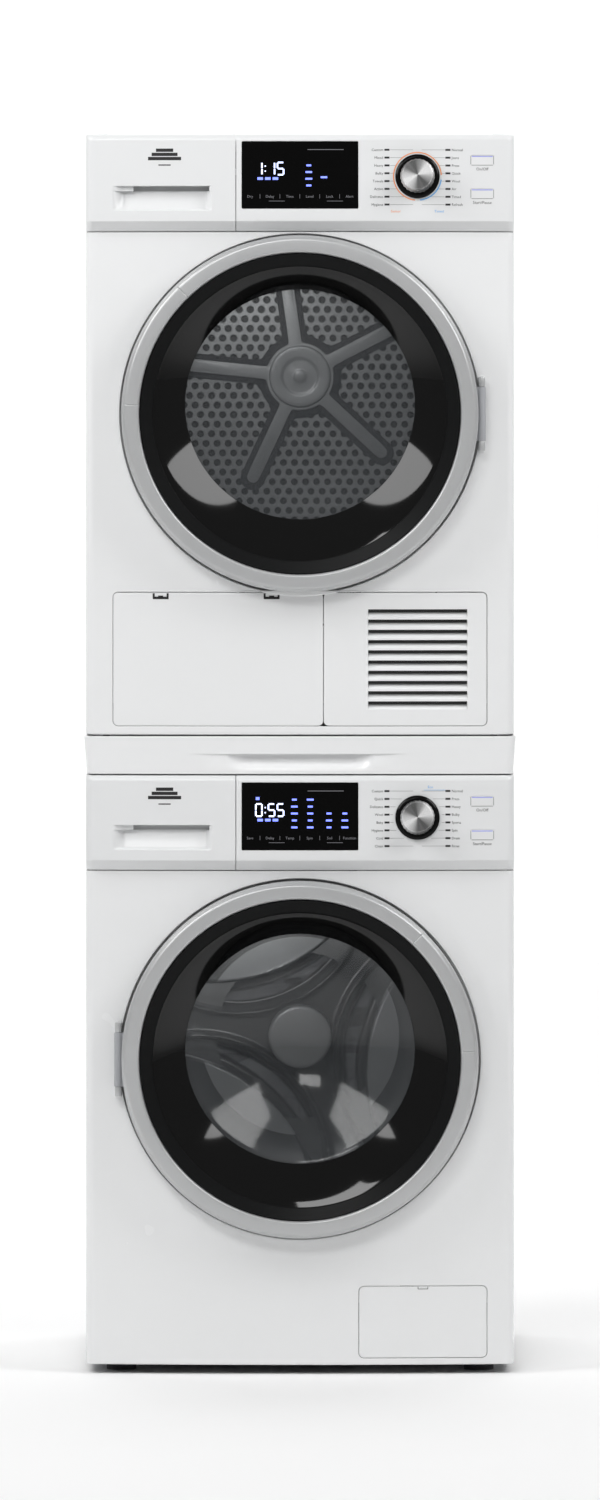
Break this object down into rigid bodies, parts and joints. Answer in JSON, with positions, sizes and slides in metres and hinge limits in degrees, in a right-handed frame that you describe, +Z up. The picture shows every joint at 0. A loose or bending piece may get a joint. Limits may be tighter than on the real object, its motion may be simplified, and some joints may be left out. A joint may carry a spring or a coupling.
{
  "type": "washer dryer stack",
  "caption": "Front-loading washer with a condenser dryer stacked above it on a pull-out shelf kit: round glass doors, control fascias, drums and belt drives.",
  "frame": {"origin": "centre of the bounding box at floor level, under the washer's feet", "axes": "+Z up, fronts face -Y, +X to the right seen from the front"},
  "size_m": [0.6, 0.624, 1.722],
  "materials": {
    "white_enamel": "stoved gloss enamel",
    "white_plastic": "satin moulded plastic",
    "silver_trim": "silver plated plastic",
    "knob_metal": "spun metal",
    "black_gloss": "polished black",
    "dark_plastic": "textured",
    "grey_plastic": "moulded",
    "smoked_glass": "polished",
    "stainless": "brushed",
    "zinc_steel": "galvanised",
    "door_rubber": "matt",
    "belt_rubber": "matt",
    "concrete": "cast",
    "cast_aluminium": "as cast"
  },
  "bodies": {
    "stack": {"washer_cabinet": "white_enamel", "washer_base": "zinc_steel", "washer_front_panel": "white_enamel", "washer_door_hinge": "dark_plastic", "washer_fascia": "white_plastic", "washer_display": "black_gloss", "washer_gasket": "door_rubber", "washer_spring_left": "zinc_steel", "washer_damper_left": "dark_plastic", "washer_spring_right": "zinc_steel", "washer_damper_right": "dark_plastic", "washer_drain_pump": "grey_plastic", "kit_frame": "white_enamel", "dryer_cabinet": "white_enamel", "dryer_base": "zinc_steel", "dryer_front_panel": "white_enamel", "dryer_top_cover": "white_plastic", "dryer_door_hinge": "dark_plastic", "dryer_fascia": "white_plastic", "dryer_display": "black_gloss", "dryer_bulkhead": "zinc_steel", "dryer_belt": "belt_rubber", "dryer_motor": "cast_aluminium", "dryer_condenser": "cast_aluminium", "dryer_vent_grille": "white_plastic"},
    "washer_door": {"washer_door_ring": "silver_trim", "washer_door_bezel": "black_gloss", "washer_door_glass": "smoked_glass", "washer_door_frame": "grey_plastic"},
    "washer_tub": {"washer_tub": "grey_plastic", "washer_motor": "cast_aluminium", "washer_counterweight": "concrete", "washer_belt": "belt_rubber"},
    "washer_drum": {"washer_drum": "stainless", "washer_pulley": "cast_aluminium"},
    "washer_motor_pulley": {"washer_motor_pulley": "zinc_steel"},
    "washer_knob": {"washer_knob": "knob_metal"},
    "washer_power_button": {"washer_power_button": "white_plastic"},
    "washer_start_button": {"washer_start_button": "white_plastic"},
    "washer_drawer": {"washer_drawer_front": "white_plastic", "washer_detergent_tray": "grey_plastic"},
    "washer_filter_cap": {"washer_filter_cap": "dark_plastic"},
    "washer_drain_flap": {"washer_drain_flap": "white_plastic"},
    "washer_foot_1": {"washer_foot_1": "dark_plastic"},
    "washer_foot_2": {"washer_foot_2": "dark_plastic"},
    "washer_foot_3": {"washer_foot_3": "dark_plastic"},
    "washer_foot_4": {"washer_foot_4": "dark_plastic"},
    "kit_shelf": {"kit_shelf": "white_plastic"},
    "dryer_door": {"dryer_door_ring": "silver_trim", "dryer_door_bezel": "black_gloss", "dryer_door_glass": "smoked_glass", "dryer_door_frame": "grey_plastic"},
    "dryer_drum": {"dryer_drum": "stainless"},
    "dryer_fan": {"dryer_fan": "dark_plastic"},
    "dryer_knob": {"dryer_knob": "knob_metal"},
    "dryer_power_button": {"dryer_power_button": "white_plastic"},
    "dryer_start_button": {"dryer_start_button": "white_plastic"},
    "dryer_water_tank": {"dryer_water_tank": "white_plastic"},
    "dryer_lint_filter": {"dryer_lint_filter": "dark_plastic"},
    "dryer_service_flap": {"dryer_service_flap": "white_plastic"}
  },
  "joints": [
    {"name": "washer_door_hinge", "type": "hinge", "parent": "stack", "child": "washer_door", "pos_m": [-0.252, -0.288, 0.438], "axis": [0, 0, -1], "range_deg": [0, 150]},
    {"name": "dryer_door_hinge", "type": "hinge", "parent": "stack", "child": "dryer_door", "pos_m": [0.252, -0.288, 1.3335], "axis": [0, 0, 1], "range_deg": [0, 150]},
    {"name": "washer_tub_float", "type": "slide", "parent": "stack", "child": "washer_tub", "axis": [0, 0, 1], "range_m": [-0.008, 0.008], "stiffness_N_per_m": 20000, "springref_m": 0.00969, "deforming": ["washer_spring_left", "washer_spring_right", "washer_damper_left", "washer_damper_right", "washer_gasket"]},
    {"name": "washer_drum_spin", "type": "hinge", "parent": "washer_tub", "child": "washer_drum", "pos_m": [0, 0, 0.443], "axis": [0, 1, 0], "continuous": true},
    {"name": "washer_motor_spin", "type": "hinge", "parent": "washer_tub", "child": "washer_motor_pulley", "pos_m": [0, 0.14, 0.121], "axis": [0, 1, 0], "continuous": true},
    {"name": "washer_knob_turn", "type": "hinge", "parent": "stack", "child": "washer_knob", "pos_m": [0.163, -0.28264, 0.773], "axis": [0, -0.998, 0.0635], "continuous": true},
    {"name": "washer_power_press", "type": "slide", "parent": "stack", "child": "washer_power_button", "axis": [0, 1, 0], "range_m": [0, 0.0012], "stiffness_N_per_m": 1000, "springref_m": -0.0005},
    {"name": "washer_start_press", "type": "slide", "parent": "stack", "child": "washer_start_button", "axis": [0, 1, 0], "range_m": [0, 0.0012], "stiffness_N_per_m": 1000, "springref_m": -0.0005},
    {"name": "dryer_knob_turn", "type": "hinge", "parent": "stack", "child": "dryer_knob", "pos_m": [0.163, -0.28256, 1.663], "axis": [0, -0.9981, 0.0618], "continuous": true},
    {"name": "dryer_power_press", "type": "slide", "parent": "stack", "child": "dryer_power_button", "axis": [0, 1, 0], "range_m": [0, 0.0012], "stiffness_N_per_m": 1000, "springref_m": -0.0005},
    {"name": "dryer_start_press", "type": "slide", "parent": "stack", "child": "dryer_start_button", "axis": [0, 1, 0], "range_m": [0, 0.0012], "stiffness_N_per_m": 1000, "springref_m": -0.0005},
    {"name": "washer_drawer_slide", "type": "slide", "parent": "stack", "child": "washer_drawer", "axis": [0, -1, 0], "range_m": [0, 0.25]},
    {"name": "washer_filter_turn", "type": "hinge", "parent": "stack", "child": "washer_filter_cap", "pos_m": [0.17075, -0.24, 0.0725], "axis": [0, -1, 0], "range_deg": [0, 360]},
    {"name": "washer_drain_flap_hinge", "type": "hinge", "parent": "stack", "child": "washer_drain_flap", "pos_m": [0.17075, -0.2775, 0.023], "axis": [1, 0, 0], "range_deg": [0, 85]},
    {"name": "washer_foot_1_turn", "type": "hinge", "parent": "stack", "child": "washer_foot_1", "pos_m": [-0.2495, -0.202, 0.01], "axis": [0, 0, 1], "continuous": true},
    {"name": "washer_foot_2_turn", "type": "hinge", "parent": "stack", "child": "washer_foot_2", "pos_m": [0.2495, -0.202, 0.01], "axis": [0, 0, 1], "continuous": true},
    {"name": "washer_foot_3_turn", "type": "hinge", "parent": "stack", "child": "washer_foot_3", "pos_m": [-0.2495, 0.246, 0.01], "axis": [0, 0, 1], "continuous": true},
    {"name": "washer_foot_4_turn", "type": "hinge", "parent": "stack", "child": "washer_foot_4", "pos_m": [0.2495, 0.246, 0.01], "axis": [0, 0, 1], "continuous": true},
    {"name": "kit_shelf_slide", "type": "slide", "parent": "stack", "child": "kit_shelf", "axis": [0, -1, 0], "range_m": [0, 0.3]},
    {"name": "dryer_drum_spin", "type": "hinge", "parent": "stack", "child": "dryer_drum", "pos_m": [0, 0.2, 1.3935], "axis": [0, 1, 0], "continuous": true},
    {"name": "dryer_fan_spin", "type": "hinge", "parent": "stack", "child": "dryer_fan", "pos_m": [0.15, 0, 0.968], "axis": [0, 1, 0], "continuous": true},
    {"name": "dryer_tank_slide", "type": "slide", "parent": "stack", "child": "dryer_water_tank", "axis": [0, -1, 0], "range_m": [0, 0.38]},
    {"name": "dryer_filter_lift", "type": "slide", "parent": "stack", "child": "dryer_lint_filter", "axis": [0, 0, 1], "range_m": [0, 0.12]},
    {"name": "dryer_service_flap_hinge", "type": "hinge", "parent": "stack", "child": "dryer_service_flap", "pos_m": [-0.1137, -0.2785, 0.9005], "axis": [1, 0, 0], "range_deg": [0, 90]}
  ],
  "couplings": [
    {"joint": "washer_motor_spin", "follows": "washer_drum_spin", "ratio": 7.875},
    {"joint": "dryer_fan_spin", "follows": "dryer_drum_spin", "ratio": 22.083}
  ]
}
